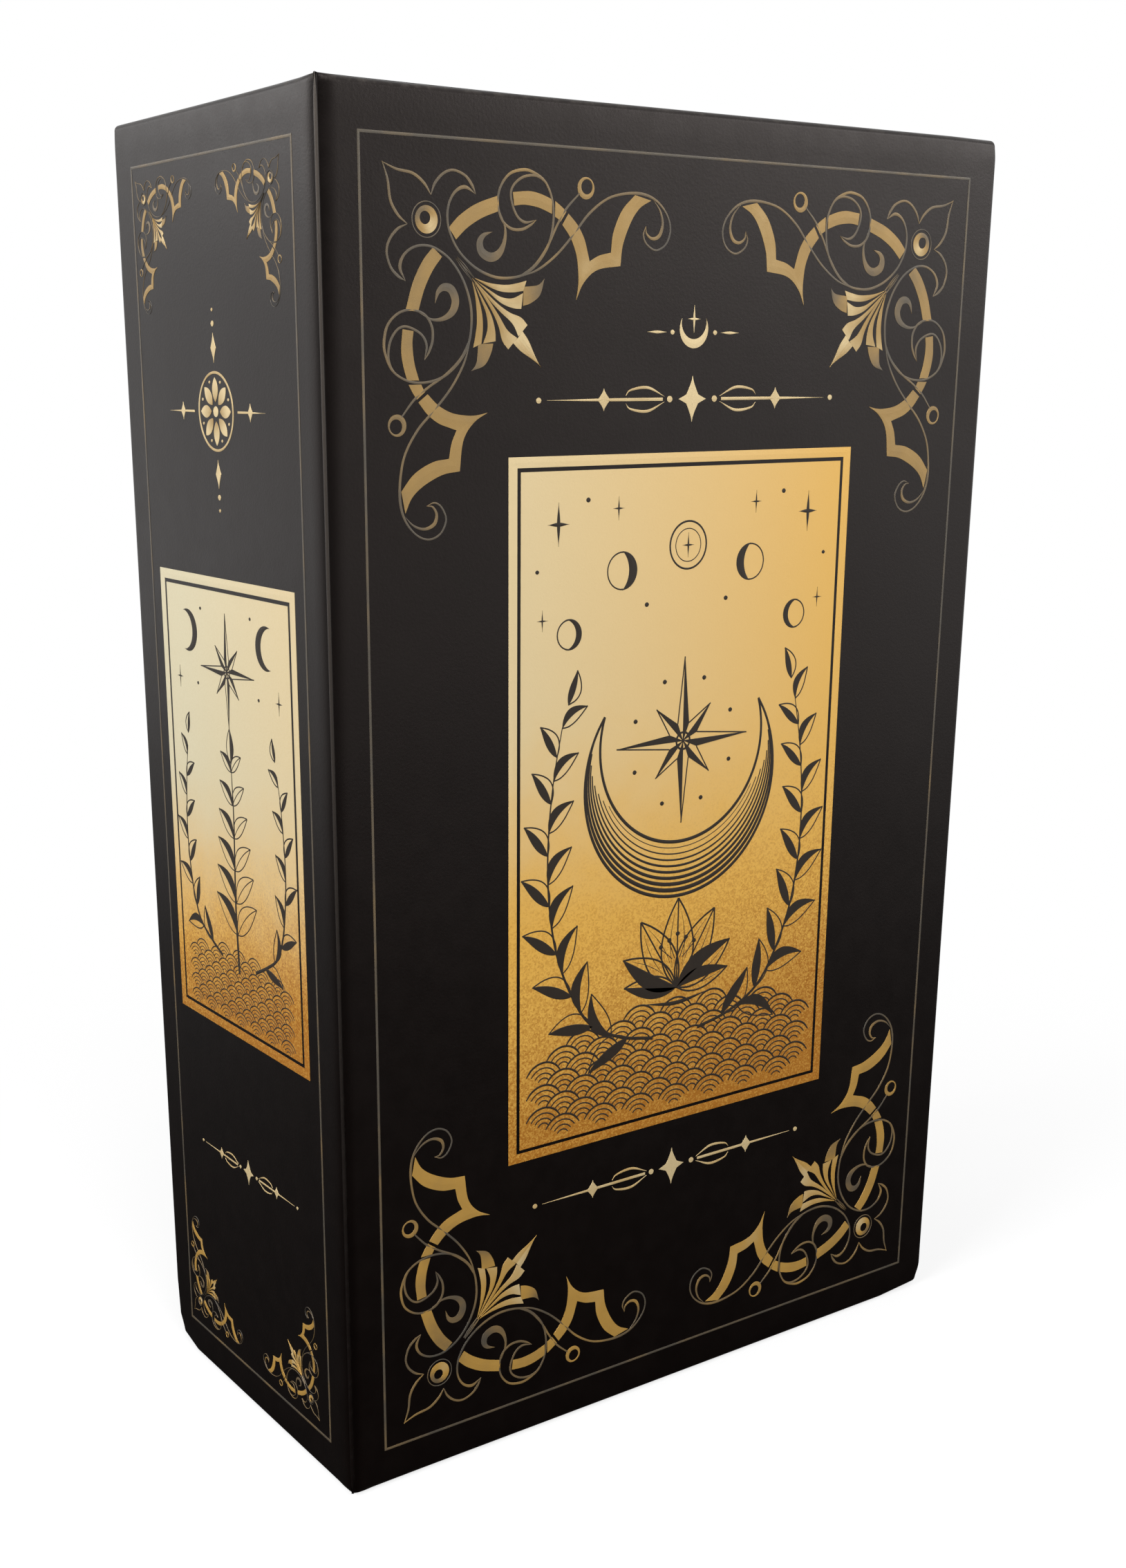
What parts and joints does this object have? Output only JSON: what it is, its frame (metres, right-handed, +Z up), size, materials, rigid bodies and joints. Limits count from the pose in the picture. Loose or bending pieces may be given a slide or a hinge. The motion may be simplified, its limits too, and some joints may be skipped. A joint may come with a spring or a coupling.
{
  "type": "tarot card deck",
  "caption": "Tarot cards and a guidebook in an upright book-style rigid box with a hinged front cover, printed in gold on black.",
  "frame": {"origin": "centre of the box's base, on the surface that it stands on", "axes": "+Z up; -Y out of the front cover; -X out of the spine; +X towards the fore edge; +Y out of the back"},
  "size_m": [0.0802, 0.0402, 0.13],
  "materials": {
    "print_paper": "black printed paper with a satin laminate, faint grain, lighter where light grazes it",
    "gold_foil": "satin gold stamping that runs from pale champagne to deep amber, finely grained",
    "greyboard": "grey millboard with raw cut edges, hidden under paper",
    "tray_paper": "uncoated black paper",
    "lining_paper": "smooth black lining paper",
    "magnet": "nickel-plated bar magnet",
    "steel_bar": "plain mild steel strip",
    "ribbon": "black woven satin ribbon",
    "cover_paper": "black coated cover stock",
    "page_paper": "uncoated cream book paper",
    "staple_wire": "galvanised stitching wire",
    "card_stock": "coated card stock, black with gold printing"
  },
  "bodies": {
    "box": {"back_board": "greyboard", "spine_board": "greyboard", "back_wrap": "print_paper", "spine_wrap": "print_paper", "tray_floor": "greyboard", "tray_floor_liner": "lining_paper", "tray_head_wall": "greyboard", "tray_tail_wall": "greyboard", "tray_spine_wall": "greyboard", "tray_fore_wall_inner": "greyboard", "tray_fore_wall_outer": "greyboard", "tray_wrap": "tray_paper", "tray_magnets": "magnet", "ribbon_base": "ribbon", "spine_gold_panel": "gold_foil", "spine_gold_frame": "gold_foil"},
    "lid": {"front_board": "greyboard", "front_wrap": "print_paper", "lid_liner": "lining_paper", "lid_keepers": "steel_bar", "front_gold_panel": "gold_foil", "front_gold_frame": "gold_foil"},
    "guidebook": {"guide_cover": "cover_paper", "guide_pages": "page_paper", "guide_staples": "staple_wire", "ribbon_tail": "ribbon"},
    "deck": {"trump_cards": "card_stock", "wand_cards": "card_stock", "cup_cards": "card_stock", "sword_cards": "card_stock", "coin_cards": "card_stock"}
  },
  "joints": [
    {"name": "lid_hinge", "type": "hinge", "parent": "box", "child": "lid", "pos_m": [-0.0399, -0.01989, 0.065], "axis": [0, 0, -1], "range_deg": [0, 180]},
    {"name": "guidebook_lift", "type": "slide", "parent": "box", "child": "guidebook", "axis": [0, -1, 0], "range_m": [0, 0.015]},
    {"name": "deck_lift", "type": "slide", "parent": "box", "child": "deck", "axis": [0, -1, 0], "range_m": [0, 0.009]}
  ],
  "couplings": [
    {"joint": "guidebook_lift", "follows": "lid_hinge", "m_per_rad": 0.004774},
    {"joint": "deck_lift", "follows": "lid_hinge", "m_per_rad": 0.002864}
  ]
}
